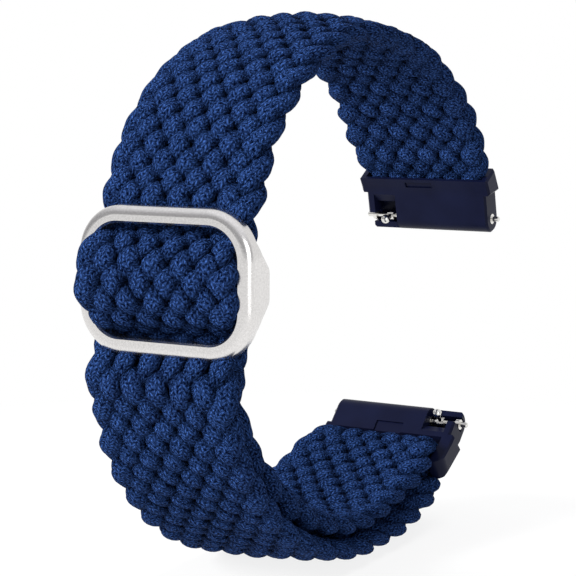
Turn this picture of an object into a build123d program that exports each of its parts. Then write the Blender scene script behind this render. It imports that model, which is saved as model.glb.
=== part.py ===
from build123d import *
import os
from math import acos, cos, degrees, radians, sin

# Braided elastic watch strap, closed to a loop that stands on its lowest stretch.
# X runs across the strap, Y from the slider (front) to the watch ends (back), Z up.
# The origin is on the ground under the middle of the loop.

# Watch side: the distance between the lugs sets every width
lug_width = 20.0
lug_clearance = 0.1
shoulder_margin = 0.35

# Braided band: one flat plait, doubled between the slider and the lower end
band_overhang = 0.3
band_thickness = 2.6
ply_gap = 0.3
band_edge = 0.8
tongue_inset = 0.85
tongue_thickness = 2.2
tongue_length = 2.4

# Outer ply above the slider, over the crown and down to the upper end
bulge_end_length = 0.8
top_length = 0.2
kick_radius = 4.0
kick_angle = 42
lift_radius = 18.3
lift_angle = 14
rise_radius = 29.9
rise_angle = 56.5
crown_heading = -27
upper_end_y = 34.64
upper_end_z = 48.7
upper_end_heading = -57

# Outer ply below the slider, round the front and along the ground to the lower end
bottom_length = 1.3
dip_angle = 68
belly_radius = 3.07
front_heading = -68
front_split_heading = -56
stand_length = 4.0
tail_heading = 14
lower_end_heading = 20

# Inner ply, which leaves the outer one behind the slider and again near the lower end
parting_middle_heading = -136
parting_heading = -64
closing_heading = -20
closing_middle_heading = 10

# Slider: a rounded ring with an ear behind each side that carries the cross bar
slider_y = -35.46
slider_z = 38.7
slider_squeeze = 0.1
slider_height = 17.8
slider_depth = 2.0
slider_corner_radius = 6.0
window_corner_radius = 3.9
slider_side_rail = 2.0
slider_end_rail = 2.1
slider_flank = 1.1
slider_inner_edge = 0.25
ear_reach = 2.2
ear_root_height = 10.2
ear_waist_height = 7.2
ear_waist_reach = 0.7
ear_top_height = 3.8
ear_fillet = 1.2
rail_clearance = 0.35
window_clearance = 0.2
bulge_reach = 2.9
cross_bar_radius = 0.9
cross_bar_setback = 1.0
cross_bar_seat = 0.8
loop_clearance = 0.1
end_loop_side_gap = 0.9
end_loop_thickness = 1.7
end_tail_thickness = 3.2
end_tail_drop = 4.5
end_tail_shift = 3.2
inner_top_drop = 5.4

# Moulded end pieces
barrel_radius = 2.0
mould_edge = 0.3
knee_radius = 4.0
upper_bend = 20
upper_neck_length = 4.1
upper_shoulder_length = 3.2
upper_shoulder_thickness = 3.5
end_gap = 0.1
pocket_clearance = 0.15
lower_bend = 15
lower_neck_length = 3.2
lower_shoulder_length = 6.45
lower_shoulder_thickness = 3.2
lower_shoulder_heading = 210
slot_side_wall = 1.9
shoulder_corner_radius = 1.8
fold_side_gap = 0.2
slot_clearance = 0.4
loop_bar_y = 19.84
loop_bar_z = 7.66
loop_bar_radius = 1.0
loop_bar_setback = 1.2
loop_bar_offset = 0.3
fold_clearance = 0.2
fold_leg = 2.3
plaque_length = 4.4
plaque_height = 2.1
plaque_depth = 0.2
upper_plaque_along = 1.6
upper_plaque_w = -0.8
lower_plaque_u = 3.1
lower_plaque_w = 0.2

# Window in the wrist face where a fingernail reaches the release lever
ear_wall = 1.15
window_length = 3.6
window_setback = 1.5
window_floor = 0.9
ramp_setback = 0.3
ramp_depth = 0.7
notch_reach = 0.85
lip_setback = 1.05
lip_reach = 0.3

# Quick-release spring bars
tube_radius = 0.75
tube_bore_radius = 0.55
tube_seat_clearance = 0.04
tube_stand_out = 0.15
flange_radius = 0.78
flange_thickness = 0.6
flange_clearance = 0.05
tip_radius = 0.4
tip_reach = 1.1
rod_radius = 0.38
head_radius = 0.5
head_length = 2.2
head_setback = 0.7
collar_radius = 0.8
collar_length = 1.0
collar_setback = 1.35
lever_radius = 0.36
lever_reach = 2.35
lever_ball_radius = 0.68
spring_radius = 0.5
spring_bore_radius = 0.38
pin_seat_length = 3.0
pin_seat_radius = 0.54

os.makedirs("parts", exist_ok=True)

half_ply = band_thickness / 2
ply_spacing = band_thickness + ply_gap
body_width = lug_width - 2 * lug_clearance
band_width = lug_width + 2 * band_overhang
shoulder_width = band_width + 2 * shoulder_margin
tongue_width = band_width - 2 * tongue_inset
slot_width = shoulder_width - 2 * slot_side_wall
fold_width = slot_width - 2 * fold_side_gap
window_width = band_width - 2 * slider_squeeze
slider_width = window_width + 2 * slider_side_rail
end_loop_width = window_width - 2 * end_loop_side_gap
bulge_width = window_width - 2 * window_clearance


def advance(pose, bends):
    """Place and heading after arcs (radius, signed angle) and straight runs (length, 0)."""
    y, z, heading = pose
    for size, angle in bends:
        turned = heading + angle
        if angle == 0:
            y += size * cos(radians(heading))
            z += size * sin(radians(heading))
        else:
            reach = size if angle > 0 else -size
            y += reach * (sin(radians(turned)) - sin(radians(heading)))
            z -= reach * (cos(radians(turned)) - cos(radians(heading)))
        heading = turned
    return y, z, heading


def beside(pose, offset):
    """A pose moved to its left by an offset, with the same heading."""
    y, z, heading = pose
    return y - offset * sin(radians(heading)), z + offset * cos(radians(heading)), heading


def double_bend(start, finish, middle):
    """Two arcs that join two poses and share a middle heading, from two linear equations."""
    sines = [sin(radians(h)) for h in (start[2], middle, finish[2])]
    cosines = [cos(radians(h)) for h in (start[2], middle, finish[2])]
    a, b = sines[1] - sines[0], sines[2] - sines[1]
    c, d = cosines[0] - cosines[1], cosines[1] - cosines[2]
    across, up = finish[0] - start[0], finish[1] - start[1]
    scale = a * d - b * c
    first = abs((across * d - b * up) / scale)
    second = abs((a * up - c * across) / scale)
    return [(first, middle - start[2]), (second, finish[2] - middle)]


def edge_line(pose, bends, offset):
    """Draw the tangent chain that runs beside a route, and return its far end."""
    for size, angle in bends:
        y, z, heading = beside(pose, offset)
        pose = advance(pose, [(size, angle)])
        finish = beside(pose, offset)
        if angle == 0:
            Line((y, z), finish[:2])
        else:
            radius = size - offset if angle > 0 else size + offset
            JernArc((y, z), (cos(radians(heading)), sin(radians(heading))), radius, angle)
    return finish[:2]


def ribbon(pose, bends, width):
    """A stretch of the flat band along a route, with its four long edges cut back."""
    with BuildPart() as band:
        with BuildSketch(Plane.YZ):
            with BuildLine():
                left_end = edge_line(pose, bends, half_ply)
                right_end = edge_line(pose, bends, -half_ply)
                Line(beside(pose, half_ply)[:2], beside(pose, -half_ply)[:2])
                Line(left_end, right_end)
            make_face()
        extrude(amount=width / 2, both=True)
        last = advance(pose, bends)
        sides = band.faces().sort_by(Axis.X)
        long_edges = []
        for edge in sides[0].edges() + sides[-1].edges():
            middle = edge @ 0.5
            ends = [abs(middle.Y - p[0]) + abs(middle.Z - p[1]) for p in (pose, last)]
            if min(ends) > half_ply / 4:
                long_edges.append(edge)
        chamfer(long_edges, length=band_edge)
    return band


# Places on the slider: its back face, its window and the round of the band through it
slider_back = slider_y + slider_depth / 2
window_half = slider_height / 2 - slider_end_rail
corner_radius = rail_clearance + half_ply
bulge_rise = slider_depth + bulge_reach - half_ply
bulge_radius = ((bulge_rise ** 2 + window_half ** 2 - corner_radius ** 2)
                / (2 * (bulge_rise + corner_radius)))
bulge_turn = degrees(acos((bulge_radius - bulge_rise) / (bulge_radius + corner_radius)))
band_back_y = slider_back + corner_radius
bulge_route = [(bulge_end_length, 0), (corner_radius, -bulge_turn), (bulge_radius, 2 * bulge_turn),
               (corner_radius, -bulge_turn), (bulge_end_length, 0)]
bulge_top = (band_back_y, slider_z + window_half + bulge_end_length, -90)
bulge_bottom = advance(bulge_top, bulge_route)

# Route of the outer ply above the slider
above_start = (bulge_top[0], bulge_top[1], 90)
above_route = [(top_length, 0), (kick_radius, -kick_angle), (lift_radius, lift_angle)]
upper_start = advance(above_start, above_route)
rise_end = advance(upper_start, [(rise_radius, -rise_angle)])
upper_end = (upper_end_y, upper_end_z, upper_end_heading)
upper_route = [(rise_radius, -rise_angle)] + double_bend(rise_end, upper_end, crown_heading)

# Route of the outer ply below the slider
dip_end = advance(bulge_bottom, [(bottom_length, 0), (corner_radius, -dip_angle)])
belly_route = [(bottom_length, 0), (corner_radius, -dip_angle),
               (belly_radius, front_heading - dip_end[2])]
belly_end = advance(bulge_bottom, belly_route)
front_radius = (belly_end[1] - half_ply) / (1 - cos(radians(front_heading)))
below_route = belly_route + [(front_radius, front_split_heading - front_heading)]
lower_start = advance(bulge_bottom, below_route)
stand_end = advance(lower_start, [(front_radius, -front_split_heading), (stand_length, 0)])

# Fold round the loop bar of the lower end, and the two legs that leave it
fold_radius = loop_bar_radius + fold_clearance + half_ply
bar_pose = (loop_bar_y, loop_bar_z, lower_end_heading)
fold_outer = advance(beside(bar_pose, -fold_radius), [(-fold_leg, 0)])
fold_inner = advance(beside(bar_pose, fold_radius), [(-fold_leg, 0)])
fold_route = [(fold_leg, 0), (fold_radius, 180), (fold_leg, 0)]
lower_route = ([(front_radius, -front_split_heading), (stand_length, 0)]
               + double_bend(stand_end, fold_outer, tail_heading))

# Route of the inner ply, from behind the slider to the fold
inner_top = (band_back_y + ply_spacing, slider_z - inner_top_drop, -90)
inner_run = inner_top[1] - (slider_z - slider_height / 2)
parting_start = advance(inner_top, [(inner_run, 0)])
parting_outer = advance(belly_end, [(front_radius, parting_heading - front_heading)])
parting_end = beside(parting_outer, ply_spacing)
parting_route = ([(inner_run, 0)]
                 + double_bend(parting_start, parting_end, parting_middle_heading))
closing_outer = advance(belly_end, [(front_radius, closing_heading - front_heading)])
closing_start = beside(closing_outer, ply_spacing)
return_route = ([(front_radius - ply_spacing, closing_heading - parting_heading)]
                + double_bend(closing_start, fold_inner, closing_middle_heading))


def turned(heading):
    """The unit direction of a heading, as across and up."""
    return cos(radians(heading)), sin(radians(heading))


# Frames of the two moulded ends: u runs to the strap, v to the wrist, w along the spring bar.
# The release lever is on the low side of w, which is -X above and +X below.
upper_strap = turned(upper_end_heading + 180)
upper_u = turned(upper_end_heading + 180 - upper_bend)
upper_reach = upper_shoulder_length + end_gap
upper_bar_y = upper_end_y - upper_reach * upper_strap[0] - upper_neck_length * upper_u[0]
upper_bar_z = upper_end_z - upper_reach * upper_strap[1] - upper_neck_length * upper_u[1]
upper_plane = Plane(origin=(0, upper_bar_y, upper_bar_z), x_dir=(0, upper_u[0], upper_u[1]),
                    z_dir=(1, 0, 0))

lower_strap = turned(lower_shoulder_heading)
lower_wrist = turned(lower_shoulder_heading - 90)
lower_u = turned(lower_shoulder_heading + lower_bend)
bar_along = lower_shoulder_length - loop_bar_setback
lower_bar_y = (loop_bar_y - bar_along * lower_strap[0] - loop_bar_offset * lower_wrist[0]
               - lower_neck_length * lower_u[0])
lower_bar_z = (loop_bar_z - bar_along * lower_strap[1] - loop_bar_offset * lower_wrist[1]
               - lower_neck_length * lower_u[1])
lower_plane = Plane(origin=(0, lower_bar_y, lower_bar_z), x_dir=(0, lower_u[0], lower_u[1]),
                    z_dir=(-1, 0, 0))


def shoulder_frame(plane, neck, bend):
    """The frame at the knee of a moulded end, with its x along the shoulder."""
    knee = plane.from_local_coords(Vector(neck, 0, 0))
    along = plane.x_dir * cos(radians(bend)) + plane.y_dir * sin(radians(bend))
    return Plane(origin=knee, x_dir=along, z_dir=plane.z_dir)


def lever_room(reach):
    """Corners of the room for the lever, which leaves a lip along the nose of the barrel."""
    return [(-2 * barrel_radius, lip_reach), (-lip_setback, lip_reach), (-lip_setback, -window_floor),
            (reach, -window_floor), (reach, 2 * barrel_radius), (-2 * barrel_radius, 2 * barrel_radius)]


def moulding(plane, neck, bend, shoulder, thickness):
    """A moulded end: round barrel, narrow neck, wider bent shoulder, lever window and bar bore."""
    half = thickness / 2
    tilt = radians(bend)
    slip = (barrel_radius - half * cos(tilt)) / sin(tilt)
    wrist_knee = (neck + slip * cos(tilt) - half * sin(tilt), barrel_radius)
    outer_knee = (neck - slip * cos(tilt) + half * sin(tilt), -barrel_radius)
    tip_u, tip_v = neck + shoulder * cos(tilt), shoulder * sin(tilt)
    wrist_tip = (tip_u - half * sin(tilt), tip_v + half * cos(tilt))
    outer_tip = (tip_u + half * sin(tilt), tip_v - half * cos(tilt))
    window_reach = neck - window_setback
    ramp_reach = neck - ramp_setback
    with BuildSketch(Plane.XY, mode=Mode.PRIVATE) as outline:
        with BuildLine():
            ThreePointArc((0, -barrel_radius), (-barrel_radius, 0), (0, barrel_radius))
            Polyline((0, barrel_radius), wrist_knee, wrist_tip, outer_tip, outer_knee,
                     (0, -barrel_radius))
        make_face()
        fillet(outline.vertices().sort_by(Axis.X)[3], radius=knee_radius)
    with BuildSketch(Plane.XY, mode=Mode.PRIVATE) as shoulder_outline:
        add(outline.sketch)
        with Locations((-barrel_radius, 0)):
            Rectangle(2 * (neck + barrel_radius), 6 * barrel_radius, mode=Mode.SUBTRACT)
    with BuildPart() as wide:
        with BuildSketch(plane):
            add(shoulder_outline.sketch)
        extrude(amount=shoulder_width / 2, both=True)
        sides = wide.faces().sort_by(Axis.X)
        chamfer(sides[0].edges() + sides[-1].edges(), length=mould_edge)
    with BuildPart() as body:
        with BuildSketch(plane):
            add(outline.sketch)
        extrude(amount=body_width / 2, both=True)
        sides = body.faces().sort_by(Axis.X)
        chamfer(sides[0].edges() + sides[-1].edges(), length=mould_edge)
        add(wide.part)
        with BuildSketch(plane.offset(-body_width / 2 + ear_wall)):
            with BuildLine():
                Polyline(*lever_room(window_reach), close=True)
            make_face()
            with BuildLine():
                Polyline((0, barrel_radius), (0, barrel_radius - ramp_depth),
                         (window_reach, barrel_radius - ramp_depth), (ramp_reach, barrel_radius),
                         (ramp_reach, 2 * barrel_radius), (0, 2 * barrel_radius), close=True)
            make_face()
        extrude(amount=window_length, mode=Mode.SUBTRACT)
        with BuildSketch(plane.offset(-body_width / 2)):
            with BuildLine():
                Polyline(*lever_room(notch_reach), close=True)
            make_face()
        extrude(amount=ear_wall, mode=Mode.SUBTRACT)
        with BuildSketch(plane.offset(-body_width / 2 + ear_wall)):
            Circle(tube_radius + tube_seat_clearance)
        extrude(amount=body_width, mode=Mode.SUBTRACT)
        with BuildSketch(plane.offset(body_width / 2)):
            Circle(flange_radius + flange_clearance)
        extrude(amount=-flange_thickness - flange_clearance, mode=Mode.SUBTRACT)
    return body.part


# Upper end: a shoulder with a pocket for the glued end of the band
upper_shoulder = shoulder_frame(upper_plane, upper_neck_length, upper_bend)
with BuildPart() as upper_connector:
    add(moulding(upper_plane, upper_neck_length, upper_bend, upper_shoulder_length,
                 upper_shoulder_thickness))
    with BuildSketch(upper_shoulder.offset(-tongue_width / 2 - pocket_clearance)):
        with Locations((upper_shoulder_length - tongue_length / 2, 0)):
            Rectangle(tongue_length, tongue_thickness + 2 * pocket_clearance)
    extrude(amount=tongue_width + 2 * pocket_clearance, mode=Mode.SUBTRACT)
    plaque_sketch = Plane(origin=upper_shoulder.from_local_coords(
        Vector(upper_plaque_along, upper_shoulder_thickness / 2, upper_plaque_w)),
        x_dir=upper_shoulder.z_dir, z_dir=upper_shoulder.y_dir)
    with BuildSketch(plaque_sketch):
        Rectangle(plaque_length, plaque_height)
    extrude(amount=-plaque_depth, mode=Mode.SUBTRACT)
upper_connector.part.label = "upper_connector"
export_step(upper_connector.part, "parts/upper_connector.step")

# Lower end: two side walls with the loop bar between their tips
lower_shoulder = shoulder_frame(lower_plane, lower_neck_length, lower_bend)
slot_wall = bar_along - loop_bar_radius - fold_clearance - band_thickness - slot_clearance
bar_place = (bar_along, loop_bar_offset)
with BuildPart() as lower_connector:
    add(moulding(lower_plane, lower_neck_length, lower_bend, lower_shoulder_length,
                 lower_shoulder_thickness))
    with BuildSketch(lower_shoulder.offset(-slot_width / 2)):
        with Locations((slot_wall + lower_shoulder_length / 2, 0)):
            Rectangle(lower_shoulder_length, 2 * lower_shoulder_thickness)
    extrude(amount=slot_width, mode=Mode.SUBTRACT)
    shoulder_top = Plane(origin=lower_shoulder.origin, x_dir=lower_shoulder.x_dir,
                         z_dir=lower_shoulder.y_dir)
    with BuildSketch(shoulder_top):
        RectangleRounded(2 * lower_shoulder_length, shoulder_width, shoulder_corner_radius)
    extrude(amount=lower_shoulder_length, both=True, mode=Mode.INTERSECT)
    with BuildSketch(lower_shoulder.offset(-slot_width / 2)):
        with Locations(bar_place):
            Circle(loop_bar_radius)
    extrude(amount=slot_width)
    plaque_sketch = Plane(origin=lower_plane.from_local_coords(
        Vector(lower_plaque_u, barrel_radius, lower_plaque_w)), x_dir=lower_plane.z_dir,
        z_dir=lower_plane.y_dir)
    with BuildSketch(plaque_sketch):
        Rectangle(plaque_length, plaque_height)
    extrude(amount=-plaque_depth, mode=Mode.SUBTRACT)
lower_connector.part.label = "lower_connector"
export_step(lower_connector.part, "parts/lower_connector.step")


def spring_bar(name, plane):
    """A quick-release spring bar: tube, fixed pin, sprung plunger, lever and coil spring."""
    end = body_width / 2
    window_end = -end + ear_wall + window_length
    tube_start = window_end - tube_stand_out
    tube_end = end - flange_thickness
    with BuildPart() as tube:
        with BuildSketch(plane.offset(tube_start)):
            Circle(tube_radius)
            Circle(tube_bore_radius, mode=Mode.SUBTRACT)
        extrude(amount=tube_end - tube_start)
    tube.part.label = name + "_bar_tube"
    export_step(tube.part, "parts/" + name + "_bar_tube.step")

    with BuildPart() as pin:
        with BuildSketch(plane.offset(end)):
            Circle(tip_radius)
        extrude(amount=tip_reach)
        with BuildSketch(plane.offset(tube_end)):
            Circle(flange_radius)
        extrude(amount=flange_thickness)
        with BuildSketch(plane.offset(tube_end - pin_seat_length)):
            Circle(pin_seat_radius)
        extrude(amount=pin_seat_length)
        rim = pin.edges().sort_by(Axis(plane.origin, plane.z_dir))[-1]
        chamfer(rim, length=tip_radius / 3)
    pin.part.label = name + "_fixed_pin"
    export_step(pin.part, "parts/" + name + "_fixed_pin.step")

    with BuildPart() as plunger:
        with BuildSketch(plane.offset(-end)):
            Circle(tip_radius)
        extrude(amount=-tip_reach)
        with BuildSketch(plane.offset(-end)):
            Circle(tube_radius)
        extrude(amount=flange_thickness)
        with BuildSketch(plane.offset(-end)):
            Circle(rod_radius)
        extrude(amount=tube_start + head_setback + end)
        with BuildSketch(plane.offset(tube_start + head_setback)):
            Circle(head_radius)
        extrude(amount=head_length)
        rim = plunger.edges().sort_by(Axis(plane.origin, plane.z_dir))[0]
        chamfer(rim, length=tip_radius / 3)
    plunger.part.label = name + "_plunger"
    export_step(plunger.part, "parts/" + name + "_plunger.step")

    collar_start = -end + ear_wall + collar_setback
    lever_middle = plane.offset(collar_start + collar_length / 2)
    lever_plane = Plane(origin=lever_middle.origin, x_dir=plane.x_dir, z_dir=plane.y_dir)
    with BuildPart() as lever:
        with BuildSketch(lever_plane):
            Circle(lever_radius)
        extrude(amount=lever_reach)
        with Locations(lever_plane.offset(lever_reach)):
            Sphere(lever_ball_radius)
        with BuildSketch(plane.offset(collar_start)):
            Circle(collar_radius)
        extrude(amount=collar_length)
        with BuildSketch(plane.offset(collar_start)):
            Circle(rod_radius)
        extrude(amount=collar_length, mode=Mode.SUBTRACT)
    lever.part.label = name + "_release_lever"
    export_step(lever.part, "parts/" + name + "_release_lever.step")

    spring_start = tube_start + head_setback + head_length
    spring_end = tube_end - pin_seat_length
    with BuildPart() as spring:
        with BuildSketch(plane.offset(spring_start)):
            Circle(spring_radius)
            Circle(spring_bore_radius, mode=Mode.SUBTRACT)
        extrude(amount=spring_end - spring_start)
    spring.part.label = name + "_bar_spring"
    export_step(spring.part, "parts/" + name + "_bar_spring.step")


spring_bar("upper", upper_plane)
spring_bar("lower", lower_plane)

# Slider: a polished ring with a rounded outer flank, and an ear behind each side rail
back_plane = Plane(origin=(0, slider_back, slider_z), x_dir=(1, 0, 0), z_dir=(0, -1, 0))
bar_y = slider_back + cross_bar_setback
with BuildPart() as slider_ring:
    with BuildSketch(back_plane):
        RectangleRounded(slider_width, slider_height, slider_corner_radius)
        RectangleRounded(window_width, 2 * window_half, window_corner_radius, mode=Mode.SUBTRACT)
    extrude(amount=slider_depth)
    front_face = slider_ring.faces().sort_by(Axis.Y)[0]
    window_rim = front_face.inner_wires()[0].edges()
    fillet(front_face.outer_wire().edges(), radius=slider_flank)
    chamfer(window_rim, length=slider_inner_edge)
with BuildPart() as slider_ears:
    with BuildSketch(back_plane):
        RectangleRounded(slider_width, slider_height, slider_corner_radius)
        RectangleRounded(window_width, 2 * window_half, window_corner_radius, mode=Mode.SUBTRACT)
    extrude(amount=-ear_reach)
    with BuildSketch(Plane.YZ) as ear_outline:
        with BuildLine():
            Polyline((slider_back, slider_z - ear_root_height / 2),
                     (slider_back + ear_waist_reach, slider_z - ear_waist_height / 2),
                     (slider_back + ear_reach, slider_z - ear_top_height / 2),
                     (slider_back + ear_reach, slider_z + ear_top_height / 2),
                     (slider_back + ear_waist_reach, slider_z + ear_waist_height / 2),
                     (slider_back, slider_z + ear_root_height / 2), close=True)
        make_face()
        fillet(ear_outline.vertices().sort_by(Axis.X)[2:], radius=ear_fillet)
    extrude(amount=slider_width / 2, both=True, mode=Mode.INTERSECT)
with BuildPart() as buckle_frame:
    add(slider_ring.part)
    add(slider_ears.part)
    with BuildSketch(Plane.YZ.offset(-window_width / 2 - cross_bar_seat)):
        with Locations((bar_y, slider_z)):
            Circle(cross_bar_radius)
    extrude(amount=window_width + 2 * cross_bar_seat, mode=Mode.SUBTRACT)
buckle_frame.part.label = "buckle_frame"
export_step(buckle_frame.part, "parts/buckle_frame.step")

with BuildPart() as buckle_cross_bar:
    with BuildSketch(Plane.YZ.offset(-window_width / 2 - cross_bar_seat)):
        with Locations((bar_y, slider_z)):
            Circle(cross_bar_radius)
    extrude(amount=window_width + 2 * cross_bar_seat)
buckle_cross_bar.part.label = "buckle_cross_bar"
export_step(buckle_cross_bar.part, "parts/buckle_cross_bar.step")

# Band stretches, from the upper end down to the slider, round the front and back again
with BuildPart() as band_upper_run:
    add(ribbon(upper_start, upper_route, band_width).part)
    with BuildSketch(upper_shoulder.offset(-tongue_width / 2)):
        with Locations((upper_shoulder_length + end_gap - tongue_length / 2, 0)):
            Rectangle(tongue_length, tongue_thickness)
    extrude(amount=tongue_width)
band_upper_run.part.label = "band_upper_run"
export_step(band_upper_run.part, "parts/band_upper_run.step")

band_above_buckle = ribbon(above_start, above_route, band_width)
band_above_buckle.part.label = "band_above_buckle"
export_step(band_above_buckle.part, "parts/band_above_buckle.step")

with BuildPart() as band_buckle_bulge:
    add(ribbon(bulge_top, bulge_route, bulge_width).part)
    with BuildSketch(back_plane.offset(-rail_clearance / 2)):
        Rectangle(2 * slider_width, 2 * window_half + corner_radius)
        RectangleRounded(window_width - 2 * window_clearance, 2 * window_half - 2 * window_clearance,
                         window_corner_radius - window_clearance, mode=Mode.SUBTRACT)
    extrude(amount=slider_depth + rail_clearance / 2 + window_clearance, mode=Mode.SUBTRACT)
band_buckle_bulge.part.label = "band_buckle_bulge"
export_step(band_buckle_bulge.part, "parts/band_buckle_bulge.step")

band_below_buckle = ribbon(bulge_bottom, below_route, band_width)
band_below_buckle.part.label = "band_below_buckle"
export_step(band_below_buckle.part, "parts/band_below_buckle.step")

band_lower_run = ribbon(lower_start, lower_route, band_width)
band_lower_run.part.label = "band_lower_run"
export_step(band_lower_run.part, "parts/band_lower_run.step")

band_connector_fold = ribbon(fold_outer, fold_route, fold_width)
band_connector_fold.part.label = "band_connector_fold"
export_step(band_connector_fold.part, "parts/band_connector_fold.step")

band_return_run = ribbon(parting_end, return_route, band_width)
band_return_run.part.label = "band_return_run"
export_step(band_return_run.part, "parts/band_return_run.step")

return_below_buckle = ribbon(inner_top, parting_route, band_width)
return_below_buckle.part.label = "return_below_buckle"
export_step(return_below_buckle.part, "parts/return_below_buckle.step")

# Stitched end of the inner ply, closed round the cross bar
tail_turn = Vector(end_tail_shift, -end_tail_drop)
loop_radius = cross_bar_radius + loop_clearance
tail_plane = Plane(origin=(0, bar_y, slider_z), x_dir=(0, tail_turn.X, tail_turn.Y),
                   z_dir=(1, 0, 0))
with BuildPart() as band_end_loop:
    with BuildSketch(tail_plane):
        Circle(loop_radius + end_loop_thickness)
        with Locations((tail_turn.length / 2, 0)):
            Rectangle(tail_turn.length, end_tail_thickness)
        Circle(loop_radius, mode=Mode.SUBTRACT)
    extrude(amount=end_loop_width / 2, both=True)
band_end_loop.part.label = "band_end_loop"
export_step(band_end_loop.part, "parts/band_end_loop.step")
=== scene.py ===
import bpy
import math
import numpy as np
from mathutils import Matrix, Vector


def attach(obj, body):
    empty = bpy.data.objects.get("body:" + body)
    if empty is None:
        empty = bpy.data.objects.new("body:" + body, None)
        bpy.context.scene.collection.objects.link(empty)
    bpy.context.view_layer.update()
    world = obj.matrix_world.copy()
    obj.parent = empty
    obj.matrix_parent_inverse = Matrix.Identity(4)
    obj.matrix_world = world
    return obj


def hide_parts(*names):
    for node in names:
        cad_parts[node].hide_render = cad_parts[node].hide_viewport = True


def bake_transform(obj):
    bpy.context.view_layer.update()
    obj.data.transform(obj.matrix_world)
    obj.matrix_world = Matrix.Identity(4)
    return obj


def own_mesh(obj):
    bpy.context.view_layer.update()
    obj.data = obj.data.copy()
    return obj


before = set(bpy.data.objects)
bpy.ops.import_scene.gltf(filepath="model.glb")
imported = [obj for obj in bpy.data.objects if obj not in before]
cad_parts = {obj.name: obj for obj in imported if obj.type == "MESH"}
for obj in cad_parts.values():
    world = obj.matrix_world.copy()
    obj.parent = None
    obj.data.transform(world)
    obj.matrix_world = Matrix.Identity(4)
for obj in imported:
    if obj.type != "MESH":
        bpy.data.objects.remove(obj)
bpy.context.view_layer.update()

# Camera
# The strap stands on its lower bend and is seen from its front right side, slightly from above. The
# focal length is counted in pixels of a picture that is 576 pixels wide.
scene = bpy.context.scene
scene.view_settings.view_transform = "Standard"
azimuth, elevation, roll = math.radians(30), math.radians(6.589), math.radians(0.18)
aim, camera_distance = Vector((0, -0.00692, 0.03524)), 0.22333
focal_pixels, picture_pixels, sensor_width = 1700, 576, 36
away = Vector((math.sin(azimuth) * math.cos(elevation), -math.cos(azimuth) * math.cos(elevation),
               math.sin(elevation)))
level_right = Vector((math.cos(azimuth), math.sin(azimuth), 0))
level_up = away.cross(level_right)
camera_right = level_right * math.cos(roll) + level_up * math.sin(roll)
camera_up = level_up * math.cos(roll) - level_right * math.sin(roll)
camera_data = bpy.data.cameras.new("camera")
camera_data.sensor_width = sensor_width
camera_data.lens = focal_pixels / picture_pixels * sensor_width
camera_data.clip_start, camera_data.clip_end = 0.01, 20
camera = bpy.data.objects.new("camera", camera_data)
camera_turn = Matrix((camera_right, camera_up, away)).transposed().to_4x4()
camera.matrix_world = Matrix.Translation(aim + away * camera_distance) @ camera_turn
scene.collection.objects.link(camera)
scene.camera = camera

# Lamps
# Three square soft boxes are turned to the strap: a strong one at the front left, a weak one at the
# front right, and one above and behind. Only the right one shows in the metal.
strap_middle = (0, 0, 0.035)


def lamp(name, place, size, watts, mirrored):
    """A square soft box at a place, turned to the strap, which metal mirrors or not."""
    data = bpy.data.lights.new(name, "AREA")
    data.size, data.energy = size, watts
    lamp_object = bpy.data.objects.new(name, data)
    turned = (Vector(strap_middle) - Vector(place)).to_track_quat("-Z", "Y")
    lamp_object.matrix_world = Matrix.Translation(place) @ turned.to_matrix().to_4x4()
    lamp_object.visible_glossy = mirrored
    scene.collection.objects.link(lamp_object)


lamp("key_light", (-0.40, -0.36, 0.26), size=0.22, watts=6.4, mirrored=False)
lamp("side_light", (0.42, -0.30, 0.16), size=0.30, watts=0.9, mirrored=True)
lamp("top_light", (0.05, 0.22, 0.50), size=0.30, watts=2.0, mirrored=False)

# White room
# The camera sees plain white round the strap, and the cloth is lit by a weak, slightly cool room.
# Metal mirrors a room of greys that change with height, from straight down to straight up, and
# that is evenly pale behind the strap.
room_light, room_strength = (0.93, 0.95, 1, 1), 0.30
room_greys = [(0.0, 1.0), (0.14, 0.95), (0.30, 0.42), (0.44, 0.46), (0.54, 0.36), (0.70, 0.45),
              (0.84, 0.72), (0.93, 1.0), (1.0, 1.0)]
cool, back_grey = 1.03, (0.9, 0.9, 0.9, 1)
back_starts, back_full = 0.05, 0.45
# The colour sockets of a mix node go by number, since its plain and vector sockets share their names.
mix_share, mix_first, mix_second, mixed = 0, 6, 7, 2


def node(tree, kind, **values):
    """A new shading node, with values for its named sockets; an underscore stands for a space."""
    made = tree.nodes.new(kind)
    for socket, value in values.items():
        made.inputs[socket.replace("_", " ")].default_value = value
    return made


world = bpy.data.worlds.new("white_room")
scene.world = world
world.use_nodes = True
tree = world.node_tree
tree.nodes.clear()
way = node(tree, "ShaderNodeTexCoord")
way_parts = node(tree, "ShaderNodeSeparateXYZ")
height_share = node(tree, "ShaderNodeMapRange", From_Min=-1)
height_ramp = node(tree, "ShaderNodeValToRGB")
height_ramp.color_ramp.interpolation = "EASE"
while len(height_ramp.color_ramp.elements) < len(room_greys):
    height_ramp.color_ramp.elements.new(0.5)
for stop, (position, grey) in zip(height_ramp.color_ramp.elements, room_greys):
    stop.position, stop.color = position, (grey, grey, grey * cool, 1)
back_share = node(tree, "ShaderNodeMapRange", From_Min=back_starts, From_Max=back_full)
mirror_room = node(tree, "ShaderNodeMix")
mirror_room.data_type = "RGBA"
mirror_room.inputs[mix_second].default_value = back_grey
ray = node(tree, "ShaderNodeLightPath")
seen_plain = node(tree, "ShaderNodeMath")
seen_plain.operation = "MAXIMUM"
soft_room = node(tree, "ShaderNodeBackground", Color=room_light, Strength=room_strength)
shiny_room = node(tree, "ShaderNodeBackground")
white = node(tree, "ShaderNodeBackground", Color=(1, 1, 1, 1))
soft_or_shiny = node(tree, "ShaderNodeMixShader")
room_or_white = node(tree, "ShaderNodeMixShader")
world_out = node(tree, "ShaderNodeOutputWorld")
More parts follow.
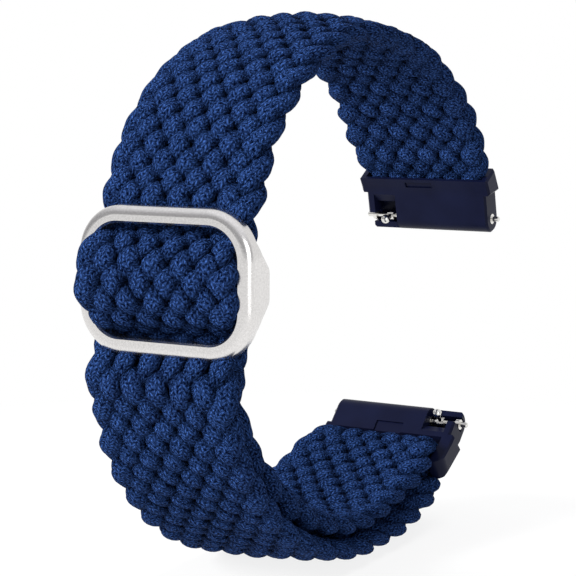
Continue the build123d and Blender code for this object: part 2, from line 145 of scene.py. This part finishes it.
for source, target in (
        (way.outputs["Generated"], way_parts.inputs[0]),
        (way_parts.outputs["Z"], height_share.inputs["Value"]),
        (height_share.outputs[0], height_ramp.inputs[0]),
        (way_parts.outputs["Y"], back_share.inputs["Value"]),
        (back_share.outputs[0], mirror_room.inputs[mix_share]),
        (height_ramp.outputs[0], mirror_room.inputs[mix_first]),
        (mirror_room.outputs[mixed], shiny_room.inputs["Color"]),
        (ray.outputs["Is Camera Ray"], seen_plain.inputs[0]),
        (ray.outputs["Is Transmission Ray"], seen_plain.inputs[1]),
        (ray.outputs["Is Glossy Ray"], soft_or_shiny.inputs[0]),
        (soft_room.outputs[0], soft_or_shiny.inputs[1]),
        (shiny_room.outputs[0], soft_or_shiny.inputs[2]),
        (seen_plain.outputs[0], room_or_white.inputs[0]),
        (soft_or_shiny.outputs[0], room_or_white.inputs[1]),
        (white.outputs[0], room_or_white.inputs[2]),
        (room_or_white.outputs[0], world_out.inputs[0])):
    tree.links.new(source, target)

# Floor
# A plain white sheet lies just under the strap. It glows white far out, and close to the strap it
# is part matt paint, which takes a faint soft shadow.
floor_reach, floor_height = 4, -0.0013
shadow_near, shadow_far, near_glow = 0.03, 0.12, 0.84
floor_mesh = bpy.data.meshes.new("floor")
floor_mesh.from_pydata([(x * floor_reach, y * floor_reach, floor_height)
                        for x, y in ((-1, -1), (1, -1), (1, 1), (-1, 1))], [], [(0, 1, 2, 3)])
floor = bpy.data.objects.new("floor", floor_mesh)
scene.collection.objects.link(floor)
floor_paint = bpy.data.materials.new("floor_paint")
floor_paint.use_nodes = True
tree = floor_paint.node_tree
tree.nodes.clear()
matt = node(tree, "ShaderNodeBsdfDiffuse", Color=(0.9, 0.9, 0.9, 1))
glow = node(tree, "ShaderNodeEmission", Color=(1, 1, 1, 1), Strength=1.0)
floor_place = node(tree, "ShaderNodeTexCoord")
from_middle = node(tree, "ShaderNodeVectorMath")
from_middle.operation = "LENGTH"
glow_share = node(tree, "ShaderNodeMapRange", From_Min=shadow_near, From_Max=shadow_far, To_Min=near_glow,
                  To_Max=1.0)
matt_or_glow = node(tree, "ShaderNodeMixShader")
floor_out = node(tree, "ShaderNodeOutputMaterial")
tree.links.new(floor_place.outputs["Object"], from_middle.inputs[0])
tree.links.new(from_middle.outputs["Value"], glow_share.inputs["Value"])
tree.links.new(glow_share.outputs[0], matt_or_glow.inputs[0])
tree.links.new(matt.outputs[0], matt_or_glow.inputs[1])
tree.links.new(glow.outputs[0], matt_or_glow.inputs[2])
tree.links.new(matt_or_glow.outputs[0], floor_out.inputs[0])
floor_mesh.materials.append(floor_paint)

# Line of the band
# The strap is one flat elastic braid, 275 mm long. It leaves its pocket in the upper end, goes over the
# crown, out through the slider and over its cross bar, down the front, round the loop bar of the
# lower end, and back inside itself to a loop on the cross bar.
# Each stretch is (length, 0) for a straight run or (radius, degrees) for a bend, in millimetres. A bend
# is positive where it adds to the heading, which is measured from +y towards +z.
pocket_depth, pocket_mouth = 2.4, (34.64, 48.7, 123)
pocket = [(pocket_depth, 0)]
crown = [(44.63, 30), (42.125, 32.5), (29.9, 56.5), (18.3, -14), (4.0, 42), (0.2, 0)]
bulge = [(0.8, 0), (1.65, -75.34), (5.379, 150.68), (1.65, -75.34), (0.8, 0)]
front = [(1.3, 0), (1.65, -68), (3.07, 90), (36.735, 68), (4.0, 0), (37.762, 14), (68.7, 6)]
fold = [(2.3, 0), (2.5, 180), (2.3, 0)]
back = [(93.503, -10), (27.403, -30), (33.835, -44), (2.86, -72), (4.569, 46), (3.5, 0)]
loop = [(4.0, 18.65), (4.97, 0), (1.85, 214.3), (3.3, 0)]
line_step = 0.1


def walk(pose, size, angle, share):
    """Places and headings at shares of one stretch that starts at a pose (y, z, heading): straight on
    where its angle is 0, and otherwise round a circle with its size as radius."""
    y, z, heading = pose
    turned = heading + angle * share
    a, b = np.radians(heading), np.radians(turned)
    if angle == 0:
        return y + size * share * np.cos(a), z + size * share * np.sin(a), turned
    reach = math.copysign(size, angle)
    return y + reach * (np.sin(b) - np.sin(a)), z - reach * (np.cos(b) - np.cos(a)), turned


def length_of(route):
    """The length of a route: its straight runs, and radius times angle for its bends."""
    return sum(size if angle == 0 else size * math.radians(abs(angle)) for size, angle in route)


pose, band_length, middle_line = walk(pocket_mouth, pocket_depth, 0, -1), 0.0, []
for size, angle in pocket + crown + bulge + front + fold + back + loop:
    stretch = length_of([(size, angle)])
    count = max(2, int(stretch / line_step))
    share = np.arange(count) / count
    middle_line.append(np.stack([band_length + stretch * share, *walk(pose, size, angle, share)], 1))
    pose = walk(pose, size, angle, 1)
    band_length += stretch
middle_line = np.concatenate(middle_line + [[(band_length, *pose)]])
at_slider = length_of(pocket + crown)
at_bulge = at_slider + length_of(bulge) / 2
past_slider = at_slider + length_of(bulge)
at_fold = past_slider + length_of(front)
mid_fold = at_fold + length_of(fold) / 2
past_fold = at_fold + length_of(fold)
at_loop = past_fold + length_of(back)

# Width and lie of the band
# The cords turn at two lines about 19 mm apart, which draw together in the ends and at the loop. The
# braid arches and leans a little on its way, and is pressed thin where it is glued and sewn.
# Outline: the station along the band, the two lines, and how far outwards each stands, in millimetres.
outline = np.array([
    (0, -8.3, 8.3, 0, 0), (pocket_depth, -8.3, 8.3, 0, 0), (5.5, -9.6, 9.4, 0, 0),
    (12, -9.5, 9.6, 0.1, 0.2), (18, -9.0, 9.5, 0.3, 0.3), (25, -8.8, 9.4, 0.7, 0.3),
    (30, -9.1, 9.5, 0.9, 0.2), (36, -9.5, 9.5, 0.9, -0.3), (42, -9.5, 9.5, 0.6, -0.5),
    (48, -9.5, 9.6, 0.0, -0.2), (56, -9.5, 9.9, -0.3, 0), (63, -9.6, 10.0, -0.2, 0.2),
    (70, -9.8, 9.5, 0.1, 0), (77, -10.1, 9.0, 0.2, 0), (84, -9.6, 9.9, 0, 0),
    (at_slider, -9.1, 9.1, 0, 0), (at_slider + 2.4, -9.1, 9.1, 0.1, -0.4), (at_bulge, -9.6, 9.1, 0.4, -1.9),
    (past_slider - 2.4, -9.1, 9.0, 0.1, -0.4), (past_slider, -9.9, 8.4, 0, 0), (105, -10.6, 7.5, 0, 0),
    (107.5, -10.3, 7.8, 0.3, 0.2), (110.4, -9.6, 8.7, 1.2, 1.5), (113, -9.6, 8.9, 0.5, 0.9),
    (115.2, -9.7, 8.8, -0.3, 0.4), (118, -9.7, 8.7, -0.2, 0.4), (121, -9.8, 8.6, 0.3, 0.6),
    (127, -10.0, 8.4, 1.0, 0.3), (136, -10.2, 8.4, 1.4, 0.3), (144, -10.0, 8.9, 1.7, 0.3),
    (150, -9.8, 9.2, 1.6, 0.3), (156, -9.6, 9.4, 1.2, 0.3), (164, -9.5, 9.4, 0.8, 0.2),
    (172, -9.5, 9.4, 0.3, 0), (at_fold - 0.5, -9.3, 9.4, 0, 0), (at_fold + 1.8, -7.6, 7.6, 0, 0),
    (mid_fold + 1.2, -7.6, 7.6, 0, 0), (past_fold - 2.5, -9.2, 7.8, 0.1, 0.1),
    (past_fold, -9.7, 8.6, 0.35, 0.2), (past_fold + 2.5, -9.8, 9.3, 0.3, 0.2),
    (past_fold + 7, -9.8, 9.5, 0.1, 0.1), (208, -9.6, 9.4, 0, 0), (220, -9.5, 9.2, 0, 0),
    (232, -9.6, 8.4, 0, 0), (240, -9.5, 7.5, 0, 0), (246, -9.2, 7.6, 0, 0), (251, -8.8, 6.6, 0, 0),
    (at_loop, -8.4, 6.2, 0, 0), (at_loop + 5, -8.0, 8.0, 0, 0), (band_length, -8.0, 8.0, 0, 0)])
# Arch: station, and how far the middle stands over the edges. Thickness: station, and share of the full one.
arch = [(0, 0), (14, 0), (30, 0.6), (38, 1.3), (50, 1.3), (62, 0.5), (76, 0), (138, 0), (150, 0.5),
        (160, 0.4), (172, 0), (band_length, 0)]
thickness = [(0, 0.82), (pocket_depth, 0.82), (5, 1), (at_loop - 6, 1), (at_loop + 2, 0.62),
             (band_length, 0.62)]
ring_step, bell = 0.24, np.hanning(9) / np.hanning(9).sum()


def softened(values):
    """Values along the band, each the mean of its nine neighbours, weighted as a cosine bell."""
    return np.convolve(np.pad(values, len(bell) // 2, mode="edge"), bell, "valid")


rings = int(band_length / ring_step) + 2
station = np.linspace(0, band_length, rings)
line_y, line_z, heading = (np.interp(station, middle_line[:, 0], middle_line[:, k]) for k in (1, 2, 3))
heading = softened(np.radians(heading))
left_edge, right_edge, left_out, right_out = (
    softened(np.interp(station, outline[:, 0], outline[:, k])) for k in (1, 2, 3, 4))
thick_share = np.interp(station, *zip(*thickness))
arched = np.interp(station, *zip(*arch))
outward = np.stack([np.zeros(rings), np.sin(heading), -np.cos(heading)], 1)

# Plait of the band
# Twelve round knitted cords are plaited flat, one over and one under, with a repeat of 57 mm. A cord
# goes from one edge to the other on one side, turns there, and comes back on the other side.
cords, repeat, around = 12, 57.0, 16
# The swing: where the first cord starts, how much a cord lingers at crossings, how sharp its corners are.
first_shift, stepping, corner = 0.8, 0.75, 0.982
# The rise over and under: its height, how blunt it is, and how much more of it a cord has inside on its
# way out than on its way back, with how fast that changes at the edges.
rise_height, rise_power, lean_share, lean_steepness = 0.56, 0.9, 0.2, 3
# The oval of a cord, for a band of the usual width, and the share of it that no squeezing takes away.
half_width, half_thick, usual_width, squeezed_share = 1.60, 0.78, 19, 0.6
# The turn at an edge: where it starts, as a share of the swing, and how much it adds to the oval.
edge_starts, edge_wider, edge_thicker = 0.86, 0.02, 0.16
# Painted shade on the cords: a point that lies low between the cords gets a darker colour. Given are the
# height in millimetres that counts as one, and the shares of it between which the painted shade gives way to
# full colour;
# and the same for the edges, where the colour is painted lighter, with the most that they get.
full_height, shaded_height, lit_height = 1.36, 0.38, 0.92
edge_painted_light, edge_light_starts, edge_light_full = 0.75, 0.80, 0.95
# How far the stitches of one cord are shifted along it against those of the next.
yarn_shift = 7.3
ring_turn = 2 * np.pi * np.arange(around) / around


def share_between(values, start, end):
    """How far values have come from a start to an end, from 0 to 1."""
    return np.clip((values - start) / (end - start), 0, 1)


def uneven(k, size, swell, shift):
    """A slow sine along the band, shifted from cord to cord, since elastic cords never lie quite alike."""
    return size * np.sin(station * swell + k * shift)


def cord_rings(k):
    """Points round one cord, the length along it, and the share of painted light at each point.

    The cord swings from edge to edge as a triangle wave with rounded corners, slower at each crossing
    than between two. It goes over and under as a cosine of the crossings it has passed, and at an edge
    half a cosine takes it to the other side of the band. Its section is an oval square to its run,
    thicker where it turns. The share of painted light gives painted shade where a point stands low, and
    keeps the colour lit where the point is at the edge."""
    phase = ((station + first_shift) / repeat + k / cords) % 1.0
    crossing = phase * 2 * cords
    stepped = (crossing - stepping * np.sin(2 * np.pi * crossing) / (2 * np.pi)) / (2 * cords)
    swing = np.arcsin(corner * -np.cos(2 * np.pi * stepped)) / math.asin(corner)
    rise = np.where(crossing <= cords, np.cos(np.pi * crossing), -np.cos(np.pi * crossing))
    edge_rise = math.cos(math.pi * (cords - 1)) * np.cos(np.pi * (crossing - cords + 1) / 2)
    rise = np.where(np.abs(crossing - cords) < 1, edge_rise, rise)
    wrapped = np.where(crossing > cords, crossing - 2 * cords, crossing)
    rise = np.where(np.abs(wrapped) < 1, np.cos(np.pi * (wrapped + 1) / 2), rise)
    rise = np.sign(rise) * np.abs(rise) ** rise_power
    lean = np.clip(lean_steepness * np.sin(2 * np.pi * phase), -1, 1)
    rise = np.where(rise < 0, rise * (1 + lean_share * lean), rise)
    edge = share_between(np.abs(swing), edge_starts, 1)
    across = (swing + 1) / 2
    width = right_edge - left_edge
    x = left_edge + width * across + uneven(k, 0.10, 0.9, 2.1) + uneven(k, 0.07, 2.3, 4.7)
    lift = (left_out + (right_out - left_out) * across + arched * (1 - swing ** 2)
            + (rise_height * rise + uneven(k, 0.05, 1.7, 3.3)) * thick_share)
    centre = np.stack([x, line_y, line_z], 1) + outward * lift[:, None]
    run = np.gradient(centre, axis=0)
    run /= np.linalg.norm(run, axis=1)[:, None]
    over = outward - run * np.sum(outward * run, 1)[:, None]
    over /= np.linalg.norm(over, axis=1)[:, None]
    side = np.cross(run, over)
    width_share = squeezed_share + (1 - squeezed_share) * width / usual_width
    half_a = (half_width + edge_wider * edge) * width_share + uneven(k, 0.04, 1.3, 5.1)
    half_c = (half_thick + edge_thicker * edge) * thick_share
    oval = (side[:, None, :] * (half_a[:, None] * np.cos(ring_turn))[:, :, None]
            + over[:, None, :] * (half_c[:, None] * np.sin(ring_turn))[:, :, None])
    ring_gaps = np.linalg.norm(np.diff(centre, axis=0), axis=1)
    along = np.concatenate([[0], np.cumsum(ring_gaps)]) + k * yarn_shift
    height = np.abs(rise_height * rise[:, None] + half_c[:, None] * np.sin(ring_turn)) / full_height
    painted_edge_light = edge_painted_light * share_between(np.abs(swing), edge_light_starts, edge_light_full)
    painted_light_share = np.maximum(share_between(height, shaded_height, lit_height), painted_edge_light[:, None])
    return centre[:, None, :] + oval, along, painted_light_share


def tube_faces(rows, corners):
    """Four-cornered faces of a closed tube that face outwards, and the share of a turn at each corner.
    The walls join a point to its neighbours in its row and in the next, and at both ends strips from
    side to side fill the last row."""
    i, a = (grid.ravel() for grid in np.meshgrid(np.arange(rows - 1), np.arange(corners), indexing="ij"))
    this_row, next_row, b = i * corners, (i + 1) * corners, (a + 1) % corners
    walls = np.stack([this_row + a, next_row + a, next_row + b, this_row + b], 1)
    strip = np.arange(corners // 2 - 1)
    near_end = np.stack([strip, strip + 1, corners - 2 - strip, corners - 1 - strip], 1)
    far_end = near_end[:, ::-1]
    turn = np.concatenate([np.stack([a, a, a + 1, a + 1], 1), near_end, far_end]) / corners
    return np.concatenate([walls, near_end, far_end + (rows - 1) * corners]), turn


# Yarn of the band
# The cords are knitted from dull navy yarn. Sixteen columns of slanting stitches go round a cord, a
# little loose and fuzzy. The gaps between stitches and between cords are painted almost black, as
# painted shade in the low parts of the stitch relief and between the cords.
columns, stitch_length, stitch_depth, carved = 16.0, 0.42, 0.0003, 0.85
sway, column_sway = 1.1, 0.5
speckle_gain, speckle_floor = 2.9, -0.85
# Painted shade: the first colour, almost black, is painted in the low parts of the stitch relief, and
# least_light is the share of colour kept where the painted shade between cords is darkest.
gap_shade_colour, yarn_colour, least_light = (0.0003, 0.0016, 0.010), (0.042, 0.105, 0.34), 0.08


def new_finish(name):
    """A new material with its node tree and its shader."""
    material = bpy.data.materials.new(name)
    material.use_nodes = True
    return material, material.node_tree, material.node_tree.nodes["Principled BSDF"]


def noise_on_piece(tree, scale, detail=2.0):
    """Noise in the piece's own Object coordinates, with about as many swells to a metre as its scale."""
    place = node(tree, "ShaderNodeTexCoord")
    noise = node(tree, "ShaderNodeTexNoise", Scale=scale, Detail=detail)
    tree.links.new(place.outputs["Object"], noise.inputs["Vector"])
    return noise.outputs[0]


def two_tones(tree, share, first, first_colour, last, last_colour):
    """A colour that changes evenly from one to another while a share goes from first to last."""
    ramp = node(tree, "ShaderNodeValToRGB")
    for stop, position, colour in zip(ramp.color_ramp.elements, (first, last), (first_colour, last_colour)):
        stop.position, stop.color = position, (*colour, 1)
    tree.links.new(share, ramp.inputs[0])
    return ramp.outputs[0]


def roughen(tree, shader, height, strength, distance):
    """A bump on the surface of a shader, from a height and its distance in metres."""
    bump = node(tree, "ShaderNodeBump", Strength=strength, Distance=distance)
    tree.links.new(height, bump.inputs["Height"])
    tree.links.new(bump.outputs[0], shader.inputs["Normal"])


braid, tree, shader = new_finish("braid")


def yarn_step(kind, *values):
    """One step of arithmetic in the yarn's material, with numbers or sockets going in."""
    step = node(tree, "ShaderNodeMath")
    step.operation = kind
    for socket, value in zip(step.inputs, values):
        if isinstance(value, (int, float)):
            socket.default_value = value
        else:
            tree.links.new(value, socket)
    return step.outputs[0]


yarn_map = node(tree, "ShaderNodeUVMap")
yarn_map.uv_map = "yarn"
yarn_place = node(tree, "ShaderNodeSeparateXYZ")
tree.links.new(yarn_map.outputs[0], yarn_place.inputs[0])
loose = yarn_step("MULTIPLY_ADD", noise_on_piece(tree, scale=900, detail=1), sway, -sway / 2)
speckle = yarn_step("MULTIPLY_ADD", noise_on_piece(tree, scale=3200, detail=3), speckle_gain, speckle_floor)
column = yarn_step("MULTIPLY", yarn_place.outputs["Y"], columns)
column = yarn_step("MULTIPLY_ADD", loose, column_sway, column)
slant = yarn_step("PINGPONG", column, 1.0)
stitches = yarn_step("ADD", yarn_step("DIVIDE", yarn_place.outputs["X"], stitch_length), slant)
stitches = yarn_step("ADD", stitches, loose)
ridge = yarn_step("MULTIPLY_ADD", yarn_step("SINE", yarn_step("MULTIPLY", stitches, 2 * math.pi)), 0.5, 0.5)
groove = yarn_step("POWER", yarn_step("MULTIPLY", yarn_step("PINGPONG", column, 0.5), 2.0), 0.5)
relief = yarn_step("MULTIPLY", yarn_step("MULTIPLY_ADD", ridge, carved, 1 - carved), groove)
relief = yarn_step("MULTIPLY", yarn_step("MULTIPLY_ADD", relief, carved, 1 - carved), speckle)
roughen(tree, shader, relief, strength=1.0, distance=stitch_depth)
# Painted shade: the colour is multiplied by the share of painted light, which darkens points that lie low
# between the cords and keeps the edges of the band lit.
painted_light_attribute = node(tree, "ShaderNodeAttribute")
painted_light_attribute.attribute_name = "painted_light_share"
shade = node(tree, "ShaderNodeMix")
shade.data_type, shade.blend_type = "RGBA", "MULTIPLY"
shade.inputs[mix_share].default_value = 1.0
# Painted shade: the base colour runs from almost black in the low parts of the stitch relief, the gaps
# between stitches, to navy on the high parts; the speckle noise in the relief makes it uneven at random.
tree.links.new(two_tones(tree, relief, 0.05, gap_shade_colour, 0.85, yarn_colour), shade.inputs[mix_first])
tree.links.new(yarn_step("ADD", painted_light_attribute.outputs["Fac"], least_light), shade.inputs[mix_second])
tree.links.new(shade.outputs[mixed], shader.inputs["Base Color"])
shader.inputs["Roughness"].default_value = 0.85
shader.inputs["Specular IOR Level"].default_value = 0.02


def plait(name, start, end):
    """One run of the band: the tubes of all cords between two stations, with the length along the
    cord in millimetres and the share of a turn round it as its UV."""
    first, last = (int(round(place / band_length * (rings - 1))) for place in (start, end))
    cord_faces, turn = tube_faces(last - first + 1, around)
    all_points, all_uv, all_faces, all_painted_light = [], [], [], []
    for k in range(cords):
        points, along, painted_light_share = (values[first:last + 1] for values in cord_rings(k))
        all_points.append(points.reshape(-1, 3) / 1000)
        all_faces.append(cord_faces + k * len(points) * around)
        all_uv.append(np.stack([along[cord_faces // around], turn], 2).ravel())
        all_painted_light.append(painted_light_share.ravel())
    points, faces = np.concatenate(all_points), np.concatenate(all_faces)
    mesh = bpy.data.meshes.new(name)
    mesh.vertices.add(len(points))
    mesh.vertices.foreach_set("co", points.ravel())
    mesh.loops.add(faces.size)
    mesh.loops.foreach_set("vertex_index", faces.ravel())
    mesh.polygons.add(len(faces))
    mesh.polygons.foreach_set("loop_start", np.arange(0, faces.size, 4))
    mesh.polygons.foreach_set("use_smooth", np.ones(len(faces), bool))
    mesh.update(calc_edges=True)
    mesh.uv_layers.new(name="yarn").data.foreach_set("uv", np.concatenate(all_uv))
    # Each point keeps its share of painted light, for the painted shade on the yarn's colour.
    painted_light_values = mesh.attributes.new("painted_light_share", "FLOAT", "POINT")
    painted_light_values.data.foreach_set("value", np.concatenate(all_painted_light).astype(np.float32))
    mesh.validate()
    mesh.materials.append(braid)
    piece = bpy.data.objects.new(name, mesh)
    scene.collection.objects.link(piece)
    return piece


# Upper run of the band
# The braid is glued into the pocket of the upper end, goes over the crown and comes out through the
# slider. This run stops at the middle of the bulge over the cross bar.
upper_run = plait("braid_upper_run", 0.0, at_bulge)
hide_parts("band_upper_run", "band_above_buckle", "band_buckle_bulge")
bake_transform(upper_run)

# Lower run of the band
# The same braid goes on from the middle of the bulge, behind the slider's lower rail and down the
# front, and slips round the loop bar of the lower end. This run stops at the middle of that fold.
lower_run = plait("braid_lower_run", at_bulge, mid_fold)
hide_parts("band_below_buckle", "band_lower_run", "band_connector_fold")
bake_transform(lower_run)

# Return run of the band
# From the fold the braid comes back as a second layer inside the first. It is turned round the cross
# bar of the slider and sewn to itself there, where the slider hides it.
return_run = plait("braid_return_run", mid_fold, band_length)
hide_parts("band_return_run", "return_below_buckle", "band_end_loop")
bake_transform(return_run)

# Moulded ends
# Both ends are moulded from hard navy nylon, each with a barrel for its spring bar. The mould leaves
# a fine satin grain and a colour that is even but for faint clouds.
nylon, tree, shader = new_finish("moulded_nylon")
deep_navy, pale_navy = (0.0030, 0.0042, 0.017), (0.0042, 0.0060, 0.023)
tone = two_tones(tree, noise_on_piece(tree, scale=220), 0.3, deep_navy, 0.7, pale_navy)
tree.links.new(tone, shader.inputs["Base Color"])
roughen(tree, shader, noise_on_piece(tree, scale=5000), strength=0.25, distance=0.00003)
shader.inputs["Roughness"].default_value = 0.38
shader.inputs["Specular IOR Level"].default_value = 0.09


def dress(material, *names):
    """Give nodes of the frame one material in place of their plain one."""
    for name in names:
        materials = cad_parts[name].data.materials
        materials.clear()
        materials.append(material)


dress(nylon, "upper_connector", "lower_connector")

# Slider and cross bar
# The slider is a rounded metal frame with an ear behind each side, and the cross bar is held in the
# ears. Both are blasted to an even satin grain and left bare.
satin, tree, shader = new_finish("satin_metal")
grain = noise_on_piece(tree, scale=4200)
grey_metal, pale_metal = (0.70, 0.685, 0.675), (0.78, 0.765, 0.755)
tone = two_tones(tree, grain, 0.35, grey_metal, 0.65, pale_metal)
tree.links.new(tone, shader.inputs["Base Color"])
roughen(tree, shader, grain, strength=0.2, distance=0.00003)
shader.inputs["Metallic"].default_value = 1.0
shader.inputs["Roughness"].default_value = 0.25
dress(satin, "buckle_frame", "buckle_cross_bar")

# Spring bars and release levers
# Each bar is a tube with a fixed pin at one end and a sprung plunger at the other, which a small
# lever pulls back. All are turned from steel, bright, with slow changes of tone from handling.
bright, tree, shader = new_finish("bright_steel")
handled_steel, new_steel = (0.66, 0.65, 0.62), (0.80, 0.79, 0.76)
tone = two_tones(tree, noise_on_piece(tree, scale=900), 0.0, handled_steel, 1.0, new_steel)
tree.links.new(tone, shader.inputs["Base Color"])
shader.inputs["Metallic"].default_value = 1.0
shader.inputs["Roughness"].default_value = 0.16
for side in ("upper", "lower"):
    dress(bright, *(side + "_" + piece for piece in ("bar_tube", "fixed_pin", "plunger", "release_lever")))

# Bar springs
# A spring wound from steel wire lies hidden in each tube. It sits on the fixed pin, and the head of
# the plunger squeezes it when the lever is pulled.
turns, steps, wire_sides = 24, 14, 6
wire_radius, winding_radius = 0.00006, 0.00044
sweep = np.linspace(0, turns * 2 * np.pi, turns * steps + 1)[:, None]
rim = 2 * np.pi * np.arange(wire_sides) / wire_sides
wire_faces = tube_faces(len(sweep), wire_sides)[0].tolist()


def wound_wire(start, end, centre):
    """Points of a helix along x between two ends round a centre, with a round wire carried along it:
    at each step of the sweep the wire's ring adds to the helix's radius and to its x."""
    radius = winding_radius + wire_radius * np.cos(rim)
    travel = end[0] - start[0] - 2 * wire_radius
    x = start[0] + wire_radius + travel * sweep / sweep[-1] + wire_radius * np.sin(rim)
    y, z = centre[1] + radius * np.cos(sweep), centre[2] + radius * np.sin(sweep)
    return np.stack([x, y, z], 2).reshape(-1, 3)


for side, body, pin_side in (("upper", "strap", 1), ("lower", "lower_end", -1)):
    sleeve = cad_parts[side + "_bar_spring"]
    box = np.array([sleeve.matrix_world @ Vector(corner) for corner in sleeve.bound_box])
    start, middle, end = box.min(0), box.mean(0), box.max(0)
    coil_mesh = bpy.data.meshes.new(side + "_coil")
    coil_mesh.from_pydata(wound_wire(start, end, middle), [], wire_faces)
    coil_mesh.polygons.foreach_set("use_smooth", np.ones(len(wire_faces), bool))
    coil_mesh.materials.append(bright)
    coil = bpy.data.objects.new(side + "_coil", coil_mesh)
    scene.collection.objects.link(coil)
    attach(coil, body)
    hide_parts(side + "_bar_spring")
    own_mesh(coil)
